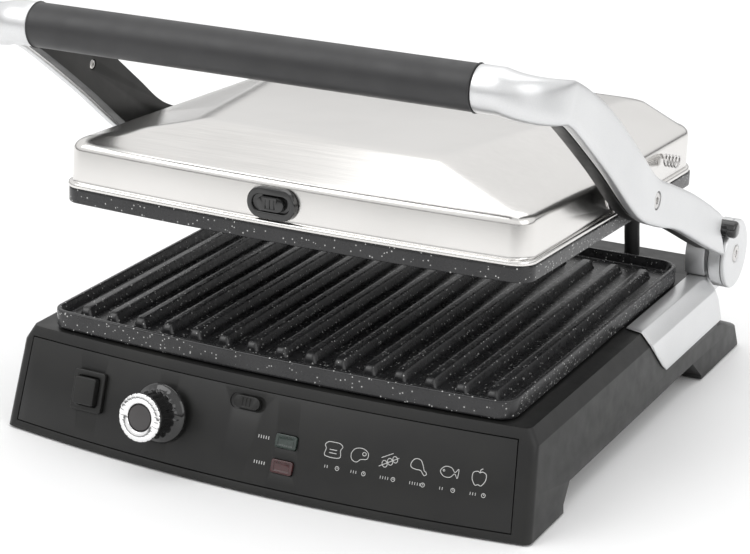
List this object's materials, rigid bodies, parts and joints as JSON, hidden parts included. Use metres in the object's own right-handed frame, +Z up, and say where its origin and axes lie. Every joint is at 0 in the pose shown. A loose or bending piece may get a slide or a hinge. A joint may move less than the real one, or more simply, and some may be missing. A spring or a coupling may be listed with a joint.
{
  "type": "panini press",
  "caption": "Contact grill with two ribbed plates, a floating brushed lid on long swinging arms, a crossbar handle, a thermostat knob and a lay-flat release button.",
  "frame": {"origin": "on the floor, at the middle of the whole object's width and depth with the press as stored, half open", "axes": "+Z up, +Y from the front panel towards the hinge, +X to the right seen from the front"},
  "size_m": [0.3603, 0.3789, 0.2669],
  "materials": {
    "black_plastic": "satin black moulded plastic",
    "grip_rubber": "soft matt dark grey grip",
    "gloss_black": "polished black plastic",
    "granite": "die-cast aluminium with a speckled dark non-stick coating",
    "steel": "plain steel",
    "brushed_steel": "fine brushed stainless steel",
    "satin_aluminium": "satin silver lacquer",
    "chrome": "bright chromed trim",
    "element": "dark oxidised steel sheath",
    "sheet": "bright pressed sheet",
    "rubber": "matt black rubber",
    "green_lens": "dark green translucent lens",
    "red_lens": "dark red translucent lens",
    "board": "green circuit board",
    "ceramic": "off-white ceramic",
    "cable": "matt black cable sleeve"
  },
  "bodies": {
    "base": {"base_housing": "black_plastic", "bottom_cover": "black_plastic", "button_bezel": "black_plastic", "button_switch": "ceramic", "cable_sleeve": "cable", "control_thermostat": "ceramic", "cord_inlet": "rubber", "foot_pad_front_left": "rubber", "foot_pad_front_right": "rubber", "foot_pad_rear_left": "rubber", "foot_pad_rear_right": "rubber", "front_panel": "black_plastic", "hinge_knuckle_left": "satin_aluminium", "hinge_knuckle_right": "satin_aluminium", "hinge_shaft_left": "steel", "hinge_shaft_right": "steel", "internal_lead": "cable", "lamp_board": "board", "lower_heating_element": "element", "lower_plate": "granite", "lower_reflector_pan": "sheet", "power_lens": "red_lens", "ready_lens": "green_lens", "side_cover_left": "satin_aluminium", "side_cover_right": "satin_aluminium", "terminal_block": "ceramic"},
    "stop_rings": {"stop_ring_left": "steel", "stop_ring_right": "steel"},
    "arms": {"arm_left": "satin_aluminium", "arm_right": "satin_aluminium", "arm_liner_left": "black_plastic", "arm_liner_right": "black_plastic", "liner_screw_left": "steel", "liner_screw_right": "steel", "handle_grip": "grip_rubber", "handle_core": "black_plastic", "handle_tube": "steel", "hinge_cap_left": "satin_aluminium", "hinge_cap_right": "satin_aluminium", "hinge_screw_left": "steel", "hinge_screw_right": "steel", "pivot_screw_left": "steel", "pivot_screw_right": "steel"},
    "release_button": {"release_button": "gloss_black"},
    "swivel": {"pivot_bush_left": "steel", "pivot_bush_right": "steel"},
    "lid": {"lid_shell": "brushed_steel", "upper_plate": "granite", "upper_reflector_pan": "sheet", "upper_heating_element": "element", "upper_latch_bezel": "gloss_black", "balance_spring_left": "steel", "balance_spring_right": "steel"},
    "upper_latch": {"upper_latch_slider": "gloss_black"},
    "knob": {"control_knob": "gloss_black", "knob_trim_ring": "chrome", "knob_cap": "gloss_black", "knob_shaft": "steel"},
    "push_button": {"push_button": "black_plastic"},
    "lower_latch": {"lower_latch_slider": "black_plastic"}
  },
  "joints": [
    {"name": "release_hinge", "type": "hinge", "parent": "base", "child": "stop_rings", "pos_m": [-0.0028, 0.1524, 0.075], "axis": [-1, 0, 0], "range_deg": [0, 89.5]},
    {"name": "press_hinge", "type": "hinge", "parent": "stop_rings", "child": "arms", "pos_m": [-0.0028, 0.1524, 0.075], "axis": [-1, 0, 0], "range_deg": [-19.5, 70.5], "deforming": ["cable_sleeve"]},
    {"name": "release_button_slide", "type": "slide", "parent": "arms", "child": "release_button", "axis": [-1, 0, 0], "range_m": [0, 0.002], "stiffness_N_per_m": 500, "springref_m": -0.001},
    {"name": "lid_swivel", "type": "hinge", "parent": "arms", "child": "swivel", "pos_m": [-0.0028, -0.0006, 0.1536], "axis": [-1, 0, 0], "range_deg": [-60.1, 16.7]},
    {"name": "lid_level", "type": "hinge", "parent": "swivel", "child": "lid", "pos_m": [-0.0028, -0.0006, 0.1536], "axis": [-1, 0, 0], "range_deg": [-0.1, 77.3]},
    {"name": "upper_latch_slide", "type": "slide", "parent": "lid", "child": "upper_latch", "axis": [1, 0, 0], "range_m": [-0.003, 0.003], "stiffness_N_per_m": 250},
    {"name": "knob_turn", "type": "hinge", "parent": "base", "child": "knob", "pos_m": [-0.0628, -0.16207, 0.0325], "axis": [-0.045, -0.9772, 0.2077], "range_deg": [-270, 0]},
    {"name": "push_button_press", "type": "slide", "parent": "base", "child": "push_button", "axis": [0.0809, 0.941, -0.3287], "range_m": [0, 0.0025], "stiffness_N_per_m": 300, "springref_m": -0.0015},
    {"name": "lower_latch_slide", "type": "slide", "parent": "base", "child": "lower_latch", "axis": [1, 0, 0], "range_m": [-0.0025, 0.0025], "stiffness_N_per_m": 250}
  ],
  "couplings": [
    {"joint": "lid_swivel", "follows": "press_hinge", "ratio": -0.85128},
    {"joint": "lid_level", "follows": "release_hinge", "ratio": 0.86162}
  ]
}
